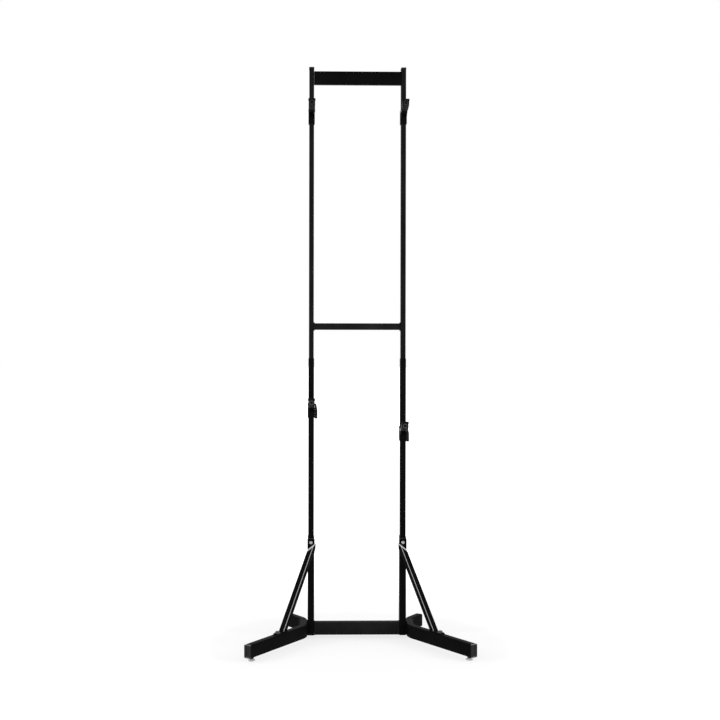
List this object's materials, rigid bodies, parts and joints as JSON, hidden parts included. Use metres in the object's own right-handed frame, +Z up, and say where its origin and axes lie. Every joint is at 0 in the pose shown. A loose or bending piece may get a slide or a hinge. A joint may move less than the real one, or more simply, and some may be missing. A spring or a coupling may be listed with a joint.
{
  "type": "two tier bike rack",
  "caption": "Free-standing bike rack: splayed tube base, telescoped uprights tied by bars, and padded arms on sliding carriages that hold bikes one above the other.",
  "frame": {"origin": "on the floor, under the middle of the footprint", "axes": "+Z up, the arms and long legs towards -Y, +X to the right seen from the front"},
  "size_m": [0.7728, 0.4838, 2.026],
  "materials": {
    "powder_black": "satin black powder coat",
    "end_plastic": "matte dark grey moulded plastic",
    "rubber": "matte black moulded rubber",
    "zinc": "bright zinc plate",
    "black_steel": "blackened steel",
    "nylon": "black nylon",
    "foot_plastic": "pale grey plastic"
  },
  "bodies": {
    "frame": {"base_crossbar": "powder_black", "left_base_leg": "powder_black", "left_base_post": "powder_black", "left_brace": "powder_black", "left_brace_foot_bolt": "zinc", "left_brace_top_bolt": "zinc", "left_crossbar_bolt": "zinc", "left_front_end_cap": "end_plastic", "left_front_foot_nut": "black_steel", "left_joint_screw": "zinc", "left_lower_upright": "powder_black", "left_rear_end_cap": "end_plastic", "left_rear_foot_nut": "black_steel", "left_upper_upright": "powder_black", "left_upright_cap": "end_plastic", "middle_crossbar": "powder_black", "right_base_leg": "powder_black", "right_base_post": "powder_black", "right_brace": "powder_black", "right_brace_foot_bolt": "zinc", "right_brace_top_bolt": "zinc", "right_crossbar_bolt": "zinc", "right_front_end_cap": "end_plastic", "right_front_foot_nut": "black_steel", "right_joint_screw": "zinc", "right_lower_upright": "powder_black", "right_rear_end_cap": "end_plastic", "right_rear_foot_nut": "black_steel", "right_upper_upright": "powder_black", "right_upright_cap": "end_plastic", "top_plate": "powder_black"},
    "upper_left_carriage_body": {"upper_left_carriage": "powder_black", "upper_left_pivot_bolt": "zinc"},
    "upper_left_knob_body": {"upper_left_clamp_knob": "end_plastic"},
    "upper_left_arm_body": {"upper_left_arm_bar": "powder_black", "upper_left_pivot_bush": "nylon"},
    "upper_left_cradle_body": {"upper_left_cradle": "rubber"},
    "upper_right_carriage_body": {"upper_right_carriage": "powder_black", "upper_right_pivot_bolt": "zinc"},
    "upper_right_knob_body": {"upper_right_clamp_knob": "end_plastic"},
    "upper_right_arm_body": {"upper_right_arm_bar": "powder_black", "upper_right_pivot_bush": "nylon"},
    "upper_right_cradle_body": {"upper_right_cradle": "rubber"},
    "lower_left_carriage_body": {"lower_left_carriage": "powder_black", "lower_left_pivot_bolt": "zinc"},
    "lower_left_knob_body": {"lower_left_clamp_knob": "end_plastic"},
    "lower_left_arm_body": {"lower_left_arm_bar": "powder_black", "lower_left_pivot_bush": "nylon"},
    "lower_left_cradle_body": {"lower_left_cradle": "rubber"},
    "lower_right_carriage_body": {"lower_right_carriage": "powder_black", "lower_right_pivot_bolt": "zinc"},
    "lower_right_knob_body": {"lower_right_clamp_knob": "end_plastic"},
    "lower_right_arm_body": {"lower_right_arm_bar": "powder_black", "lower_right_pivot_bush": "nylon"},
    "lower_right_cradle_body": {"lower_right_cradle": "rubber"},
    "left_front_foot_body": {"left_front_levelling_foot": "foot_plastic"},
    "left_rear_foot_body": {"left_rear_levelling_foot": "foot_plastic"},
    "right_front_foot_body": {"right_front_levelling_foot": "foot_plastic"},
    "right_rear_foot_body": {"right_rear_levelling_foot": "foot_plastic"}
  },
  "joints": [
    {"name": "upper_left_carriage_slide", "type": "slide", "parent": "frame", "child": "upper_left_carriage_body", "axis": [0, 0, 1], "range_m": [-0.7, 0.08]},
    {"name": "upper_left_knob_turn", "type": "hinge", "parent": "upper_left_carriage_body", "child": "upper_left_knob_body", "pos_m": [-0.163, 0.1358, 1.849], "axis": [0, 1, 0], "range_deg": [0, 540]},
    {"name": "upper_left_arm_tilt", "type": "hinge", "parent": "upper_left_carriage_body", "child": "upper_left_arm_body", "pos_m": [-0.163, 0.0753, 1.868], "axis": [-1, 0, 0], "range_deg": [-72, 48]},
    {"name": "upper_left_cradle_roll", "type": "hinge", "parent": "upper_left_arm_body", "child": "upper_left_cradle_body", "pos_m": [-0.163, 0.01661, 1.88047], "axis": [0, 0.9781, -0.2079], "range_deg": [-30, 30]},
    {"name": "upper_right_carriage_slide", "type": "slide", "parent": "frame", "child": "upper_right_carriage_body", "axis": [0, 0, 1], "range_m": [-0.7, 0.08]},
    {"name": "upper_right_knob_turn", "type": "hinge", "parent": "upper_right_carriage_body", "child": "upper_right_knob_body", "pos_m": [0.163, 0.1358, 1.849], "axis": [0, 1, 0], "range_deg": [0, 540]},
    {"name": "upper_right_arm_tilt", "type": "hinge", "parent": "upper_right_carriage_body", "child": "upper_right_arm_body", "pos_m": [0.163, 0.0753, 1.868], "axis": [-1, 0, 0], "range_deg": [-72, 48]},
    {"name": "upper_right_cradle_roll", "type": "hinge", "parent": "upper_right_arm_body", "child": "upper_right_cradle_body", "pos_m": [0.163, 0.01661, 1.88047], "axis": [0, 0.9781, -0.2079], "range_deg": [-30, 30]},
    {"name": "lower_left_carriage_slide", "type": "slide", "parent": "frame", "child": "lower_left_carriage_body", "axis": [0, 0, 1], "range_m": [-0.419, 0.128]},
    {"name": "lower_left_knob_turn", "type": "hinge", "parent": "lower_left_carriage_body", "child": "lower_left_knob_body", "pos_m": [-0.1451, 0.1094, 0.807], "axis": [1, 0, 0], "range_deg": [0, 540]},
    {"name": "lower_left_arm_tilt", "type": "hinge", "parent": "lower_left_carriage_body", "child": "lower_left_arm_body", "pos_m": [-0.163, 0.0738, 0.826], "axis": [-1, 0, 0], "range_deg": [-73, 47]},
    {"name": "lower_left_cradle_roll", "type": "hinge", "parent": "lower_left_arm_body", "child": "lower_left_cradle_body", "pos_m": [-0.163, 0.01533, 0.8395], "axis": [0, 0.9744, -0.225], "range_deg": [-30, 30]},
    {"name": "lower_right_carriage_slide", "type": "slide", "parent": "frame", "child": "lower_right_carriage_body", "axis": [0, 0, 1], "range_m": [-0.337, 0.21]},
    {"name": "lower_right_knob_turn", "type": "hinge", "parent": "lower_right_carriage_body", "child": "lower_right_knob_body", "pos_m": [0.1809, 0.1094, 0.725], "axis": [1, 0, 0], "range_deg": [0, 540]},
    {"name": "lower_right_arm_tilt", "type": "hinge", "parent": "lower_right_carriage_body", "child": "lower_right_arm_body", "pos_m": [0.163, 0.0738, 0.744], "axis": [-1, 0, 0], "range_deg": [-74, 46]},
    {"name": "lower_right_cradle_roll", "type": "hinge", "parent": "lower_right_arm_body", "child": "lower_right_cradle_body", "pos_m": [0.163, 0.01558, 0.75852], "axis": [0, 0.9703, -0.2419], "range_deg": [-30, 30]},
    {"name": "left_front_foot_turn", "type": "hinge", "parent": "frame", "child": "left_front_foot_body", "pos_m": [-0.36176, -0.21357, 0.01], "axis": [0, 0, 1], "range_deg": [-720, 720]},
    {"name": "left_rear_foot_turn", "type": "hinge", "parent": "frame", "child": "left_rear_foot_body", "pos_m": [-0.22129, 0.21357, 0.01], "axis": [0, 0, 1], "range_deg": [-720, 720]},
    {"name": "right_front_foot_turn", "type": "hinge", "parent": "frame", "child": "right_front_foot_body", "pos_m": [0.36176, -0.21357, 0.01], "axis": [0, 0, 1], "range_deg": [-720, 720]},
    {"name": "right_rear_foot_turn", "type": "hinge", "parent": "frame", "child": "right_rear_foot_body", "pos_m": [0.22129, 0.21357, 0.01], "axis": [0, 0, 1], "range_deg": [-720, 720]}
  ]
}
